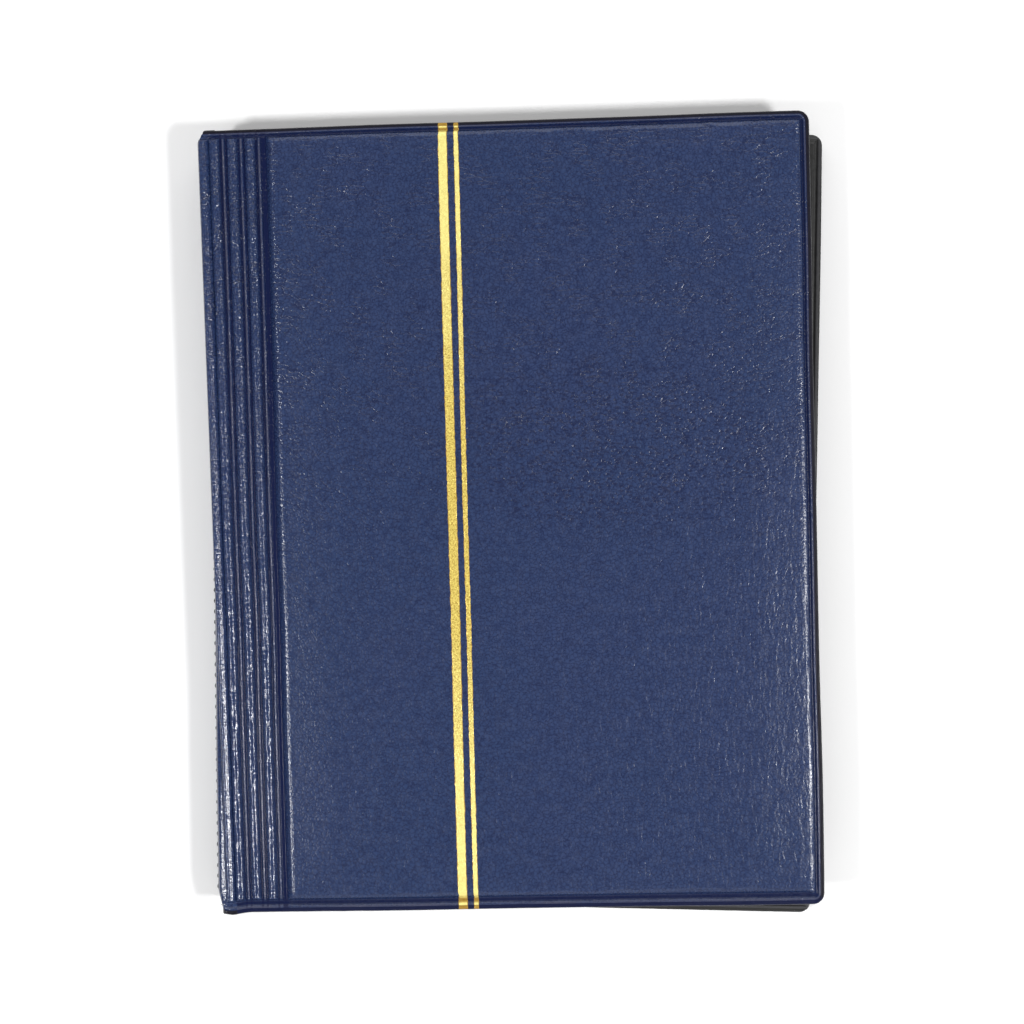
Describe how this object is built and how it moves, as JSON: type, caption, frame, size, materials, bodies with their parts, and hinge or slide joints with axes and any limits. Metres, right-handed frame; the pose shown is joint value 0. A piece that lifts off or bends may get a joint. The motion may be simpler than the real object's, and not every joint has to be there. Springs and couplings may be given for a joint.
{
  "type": "stamp album",
  "caption": "Small closed stamp stock book with padded leather-grain vinyl covers, ribbed hinge, gold stripes and black pocket leaves that open.",
  "frame": {"origin": "middle of the closed book on the outside of the back cover, its rest face", "axes": "+X from the spine to the fore-edge, +Y up the page to the head, +Z from the back cover to the front cover"},
  "size_m": [0.1693, 0.2196, 0.0171],
  "materials": {
    "vinyl": "satin leather-grained soft vinyl",
    "gold_foil": "bright hot-stamped gold foil",
    "foam": "thin white padding foam",
    "board": "grey bookbinding board",
    "lining": "smooth black vinyl lining",
    "linen": "woven black linen strip",
    "seam": "dark welded vinyl",
    "card": "black album card",
    "film": "clear glossy pocket film",
    "glassine": "translucent glazed paper"
  },
  "bodies": {
    "back_cover": {"back_cover_vinyl": "vinyl", "back_cover_foam": "foam", "back_cover_board": "board", "back_cover_lining": "lining"},
    "spine": {"spine_vinyl": "vinyl", "spine_stiffener": "board", "spine_lining": "lining", "spine_seam": "seam", "binding_tape": "linen"},
    "front_cover": {"front_cover_vinyl": "vinyl", "front_cover_foam": "foam", "front_cover_board": "board", "front_cover_lining": "lining", "gold_stripe_wide": "gold_foil", "gold_stripe_narrow": "gold_foil"},
    "leaf_1": {"leaf_1_card": "card", "leaf_1_hinge": "linen", "leaf_1_front_pockets": "film", "leaf_1_back_pockets": "film"},
    "leaf_2": {"leaf_2_card": "card", "leaf_2_hinge": "linen", "leaf_2_front_pockets": "film", "leaf_2_back_pockets": "film"},
    "leaf_3": {"leaf_3_card": "card", "leaf_3_hinge": "linen", "leaf_3_front_pockets": "film", "leaf_3_back_pockets": "film"},
    "leaf_4": {"leaf_4_card": "card", "leaf_4_hinge": "linen", "leaf_4_front_pockets": "film", "leaf_4_back_pockets": "film"},
    "leaf_5": {"leaf_5_card": "card", "leaf_5_hinge": "linen", "leaf_5_front_pockets": "film", "leaf_5_back_pockets": "film"},
    "leaf_6": {"leaf_6_card": "card", "leaf_6_hinge": "linen", "leaf_6_front_pockets": "film", "leaf_6_back_pockets": "film"},
    "leaf_7": {"leaf_7_card": "card", "leaf_7_hinge": "linen", "leaf_7_front_pockets": "film", "leaf_7_back_pockets": "film"},
    "leaf_8": {"leaf_8_card": "card", "leaf_8_hinge": "linen", "leaf_8_front_pockets": "film", "leaf_8_back_pockets": "film"},
    "glassine_1": {"glassine_1": "glassine"},
    "glassine_2": {"glassine_2": "glassine"},
    "glassine_3": {"glassine_3": "glassine"},
    "glassine_4": {"glassine_4": "glassine"},
    "glassine_5": {"glassine_5": "glassine"},
    "glassine_6": {"glassine_6": "glassine"},
    "glassine_7": {"glassine_7": "glassine"}
  },
  "joints": [
    {"name": "spine_hinge", "type": "hinge", "parent": "back_cover", "child": "spine", "pos_m": [-0.08275, 0, 0.0015], "axis": [0, -1, 0], "range_deg": [0, 90]},
    {"name": "front_cover_hinge", "type": "hinge", "parent": "spine", "child": "front_cover", "pos_m": [-0.08275, 0, 0.0155], "axis": [0, -1, 0], "range_deg": [0, 90]},
    {"name": "leaf_1_hinge", "type": "hinge", "parent": "back_cover", "child": "leaf_1", "pos_m": [-0.0807, 0, 0.0085], "axis": [0, -1, 0], "range_deg": [0, 180]},
    {"name": "leaf_2_hinge", "type": "hinge", "parent": "back_cover", "child": "leaf_2", "pos_m": [-0.0807, 0, 0.0085], "axis": [0, -1, 0], "range_deg": [0, 180]},
    {"name": "leaf_3_hinge", "type": "hinge", "parent": "back_cover", "child": "leaf_3", "pos_m": [-0.0807, 0, 0.0085], "axis": [0, -1, 0], "range_deg": [0, 180]},
    {"name": "leaf_4_hinge", "type": "hinge", "parent": "back_cover", "child": "leaf_4", "pos_m": [-0.0807, 0, 0.0085], "axis": [0, -1, 0], "range_deg": [0, 180]},
    {"name": "leaf_5_hinge", "type": "hinge", "parent": "back_cover", "child": "leaf_5", "pos_m": [-0.0807, 0, 0.0085], "axis": [0, -1, 0], "range_deg": [0, 180]},
    {"name": "leaf_6_hinge", "type": "hinge", "parent": "back_cover", "child": "leaf_6", "pos_m": [-0.0807, 0, 0.0085], "axis": [0, -1, 0], "range_deg": [0, 180]},
    {"name": "leaf_7_hinge", "type": "hinge", "parent": "back_cover", "child": "leaf_7", "pos_m": [-0.0807, 0, 0.0085], "axis": [0, -1, 0], "range_deg": [0, 180]},
    {"name": "leaf_8_hinge", "type": "hinge", "parent": "back_cover", "child": "leaf_8", "pos_m": [-0.0807, 0, 0.0085], "axis": [0, -1, 0], "range_deg": [0, 180]},
    {"name": "glassine_1_hinge", "type": "hinge", "parent": "back_cover", "child": "glassine_1", "pos_m": [-0.0807, 0, 0.0085], "axis": [0, -1, 0], "range_deg": [0, 180]},
    {"name": "glassine_2_hinge", "type": "hinge", "parent": "back_cover", "child": "glassine_2", "pos_m": [-0.0807, 0, 0.0085], "axis": [0, -1, 0], "range_deg": [0, 180]},
    {"name": "glassine_3_hinge", "type": "hinge", "parent": "back_cover", "child": "glassine_3", "pos_m": [-0.0807, 0, 0.0085], "axis": [0, -1, 0], "range_deg": [0, 180]},
    {"name": "glassine_4_hinge", "type": "hinge", "parent": "back_cover", "child": "glassine_4", "pos_m": [-0.0807, 0, 0.0085], "axis": [0, -1, 0], "range_deg": [0, 180]},
    {"name": "glassine_5_hinge", "type": "hinge", "parent": "back_cover", "child": "glassine_5", "pos_m": [-0.0807, 0, 0.0085], "axis": [0, -1, 0], "range_deg": [0, 180]},
    {"name": "glassine_6_hinge", "type": "hinge", "parent": "back_cover", "child": "glassine_6", "pos_m": [-0.0807, 0, 0.0085], "axis": [0, -1, 0], "range_deg": [0, 180]},
    {"name": "glassine_7_hinge", "type": "hinge", "parent": "back_cover", "child": "glassine_7", "pos_m": [-0.0807, 0, 0.0085], "axis": [0, -1, 0], "range_deg": [0, 180]}
  ],
  "couplings": [
    {"joint": "front_cover_hinge", "follows": "spine_hinge", "ratio": 1},
    {"joint": "leaf_1_hinge", "follows": "spine_hinge", "ratio": 1.99},
    {"joint": "leaf_2_hinge", "follows": "spine_hinge", "ratio": 1.98},
    {"joint": "leaf_3_hinge", "follows": "spine_hinge", "ratio": 1.97},
    {"joint": "leaf_4_hinge", "follows": "spine_hinge", "ratio": 1.96},
    {"joint": "leaf_5_hinge", "follows": "spine_hinge", "ratio": 0.04},
    {"joint": "leaf_6_hinge", "follows": "spine_hinge", "ratio": 0.03},
    {"joint": "leaf_7_hinge", "follows": "spine_hinge", "ratio": 0.02},
    {"joint": "leaf_8_hinge", "follows": "spine_hinge", "ratio": 0.01},
    {"joint": "glassine_1_hinge", "follows": "spine_hinge", "ratio": 1.985},
    {"joint": "glassine_2_hinge", "follows": "spine_hinge", "ratio": 1.975},
    {"joint": "glassine_3_hinge", "follows": "spine_hinge", "ratio": 1.965},
    {"joint": "glassine_4_hinge", "follows": "spine_hinge", "ratio": 1.955},
    {"joint": "glassine_5_hinge", "follows": "spine_hinge", "ratio": 0.035},
    {"joint": "glassine_6_hinge", "follows": "spine_hinge", "ratio": 0.025},
    {"joint": "glassine_7_hinge", "follows": "spine_hinge", "ratio": 0.015}
  ]
}
